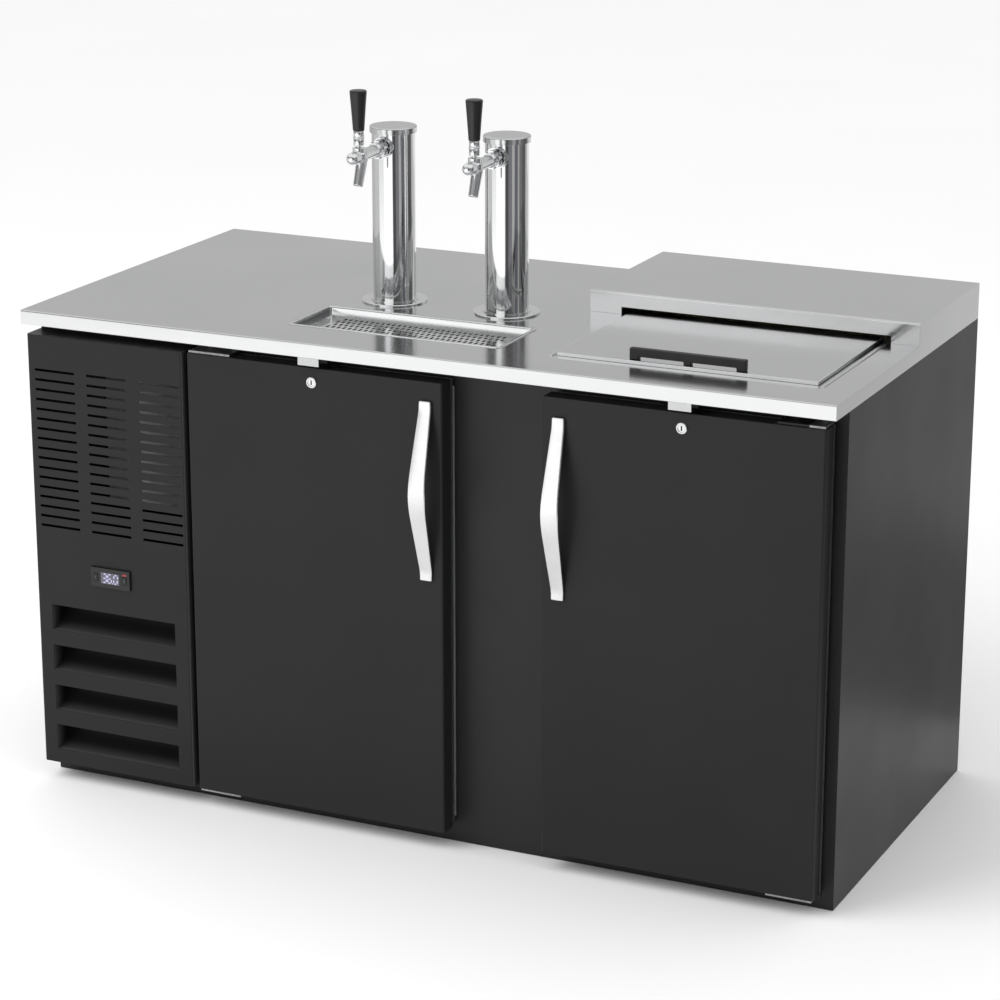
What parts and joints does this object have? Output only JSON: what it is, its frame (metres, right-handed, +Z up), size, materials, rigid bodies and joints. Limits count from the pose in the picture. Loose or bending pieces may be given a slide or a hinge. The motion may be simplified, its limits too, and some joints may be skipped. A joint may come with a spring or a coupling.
{
  "type": "direct draw beer dispenser",
  "caption": "Refrigerated keg cabinet that dispenses beer: steel worktop with tower faucets over a drip tray, sliding top lid, hinged insulated doors and a louvred machine bay.",
  "frame": {"origin": "on the floor under the middle of the worktop", "axes": "+Z up, +Y from the doors to the back, +X to the right as seen from the front"},
  "size_m": [1.499, 0.78, 1.2685],
  "materials": {
    "painted_black": "satin black textured paint on steel",
    "frame_black": "satin black paint on the cabinet's front frame",
    "stainless": "brushed stainless sheet",
    "bright_stainless": "brighter brushed stainless trim",
    "polished": "polished",
    "galvanised": "galvanised sheet",
    "foam": "rigid foam",
    "liner": "mill-finish liner sheet",
    "gasket": "soft grey vinyl",
    "black_plastic": "black moulded plastic",
    "dark_plastic": "matte dark plastic",
    "display": "lit display window",
    "black_steel": "gloss black enamel",
    "fins": "thin aluminium fins on tubes",
    "copper": "drawn copper",
    "brass": "turned brass"
  },
  "bodies": {
    "cabinet": {"base_pan": "galvanised", "left_side_panel": "painted_black", "right_side_panel": "painted_black", "rear_panel": "galvanised", "front_frame": "frame_black", "bay_wall": "galvanised", "insulation": "foam", "cabinet_liner": "liner", "worktop": "stainless", "worktop_core": "foam", "lid_hood": "stainless", "lid_runners": "bright_stainless", "drip_pan": "bright_stainless", "drain_tailpiece": "bright_stainless", "front_grille": "painted_black", "thermostat_housing": "dark_plastic", "thermostat_display": "display", "hinge_brackets": "bright_stainless", "lock_strikes": "bright_stainless", "compressor": "black_steel", "condenser_coil": "fins", "fan_shroud": "frame_black", "fan_motors": "black_steel", "evaporator_coil": "fins", "evaporator_cover": "liner", "refrigerant_lines": "copper", "cord_gland": "dark_plastic", "left_tower_column": "polished", "right_tower_column": "polished", "left_tower_cap": "polished", "right_tower_cap": "polished", "left_faucet_shank": "polished", "right_faucet_shank": "polished", "left_faucet_body": "polished", "right_faucet_body": "polished"},
    "left_door": {"left_door_skin": "painted_black", "left_door_core": "foam", "left_door_liner": "liner", "left_door_gasket": "gasket", "left_door_handle": "polished"},
    "left_lock_barrel": {"left_lock": "polished"},
    "left_tap": {"left_tap_lever": "polished", "left_tap_handle": "black_plastic"},
    "left_valve": {"left_valve_shaft": "brass"},
    "right_door": {"right_door_skin": "painted_black", "right_door_core": "foam", "right_door_liner": "liner", "right_door_gasket": "gasket", "right_door_handle": "polished"},
    "right_lock_barrel": {"right_lock": "polished"},
    "right_tap": {"right_tap_lever": "polished", "right_tap_handle": "black_plastic"},
    "right_valve": {"right_valve_shaft": "brass"},
    "lid": {"lid_panel": "stainless", "lid_handle": "black_plastic"},
    "grid": {"drip_grid": "bright_stainless"},
    "condenser_rotor": {"condenser_fan": "fins"},
    "evaporator_rotor": {"evaporator_fan": "dark_plastic"},
    "set_button": {"set_key": "dark_plastic"},
    "step_button": {"step_key": "dark_plastic"}
  },
  "joints": [
    {"name": "left_door_hinge", "type": "hinge", "parent": "cabinet", "child": "left_door", "pos_m": [-0.4105, -0.3485, 0.033], "axis": [0, 0, -1], "range_deg": [0, 110]},
    {"name": "right_door_hinge", "type": "hinge", "parent": "cabinet", "child": "right_door", "pos_m": [0.7165, -0.3485, 0.033], "axis": [0, 0, 1], "range_deg": [0, 110]},
    {"name": "left_lock_turn", "type": "hinge", "parent": "left_door", "child": "left_lock_barrel", "pos_m": [-0.1815, -0.3625, 0.807], "axis": [0, -1, 0], "range_deg": [0, 90]},
    {"name": "right_lock_turn", "type": "hinge", "parent": "right_door", "child": "right_lock_barrel", "pos_m": [0.4875, -0.3625, 0.807], "axis": [0, 1, 0], "range_deg": [0, 90]},
    {"name": "lid_slide", "type": "slide", "parent": "cabinet", "child": "lid", "axis": [0, 1, 0], "range_m": [0, 0.28]},
    {"name": "grid_lift", "type": "slide", "parent": "cabinet", "child": "grid", "axis": [0, 0, 1], "range_m": [0, 0.12]},
    {"name": "left_tap_pull", "type": "hinge", "parent": "cabinet", "child": "left_tap", "pos_m": [-0.1935, -0.1585, 1.1645], "axis": [1, 0, 0], "range_deg": [0, 35]},
    {"name": "right_tap_pull", "type": "hinge", "parent": "cabinet", "child": "right_tap", "pos_m": [0.0245, -0.1585, 1.1645], "axis": [1, 0, 0], "range_deg": [0, 35]},
    {"name": "left_valve_slide", "type": "slide", "parent": "cabinet", "child": "left_valve", "axis": [0, 1, 0], "range_m": [0, 0.006]},
    {"name": "right_valve_slide", "type": "slide", "parent": "cabinet", "child": "right_valve", "axis": [0, 1, 0], "range_m": [0, 0.006]},
    {"name": "condenser_fan_spin", "type": "hinge", "parent": "cabinet", "child": "condenser_rotor", "pos_m": [-0.5915, -0.2253, 0.179], "axis": [0, -1, 0], "continuous": true},
    {"name": "evaporator_fan_spin", "type": "hinge", "parent": "cabinet", "child": "evaporator_rotor", "pos_m": [-0.3215, 0.1313, 0.559], "axis": [1, 0, 0], "continuous": true},
    {"name": "set_press", "type": "slide", "parent": "cabinet", "child": "set_button", "axis": [0, 1, 0], "range_m": [0, 0.001], "stiffness_N_per_m": 600},
    {"name": "step_press", "type": "slide", "parent": "cabinet", "child": "step_button", "axis": [0, 1, 0], "range_m": [0, 0.001], "stiffness_N_per_m": 600}
  ],
  "couplings": [
    {"joint": "left_valve_slide", "follows": "left_tap_pull", "m_per_rad": 0.0098},
    {"joint": "right_valve_slide", "follows": "right_tap_pull", "m_per_rad": 0.0098}
  ]
}
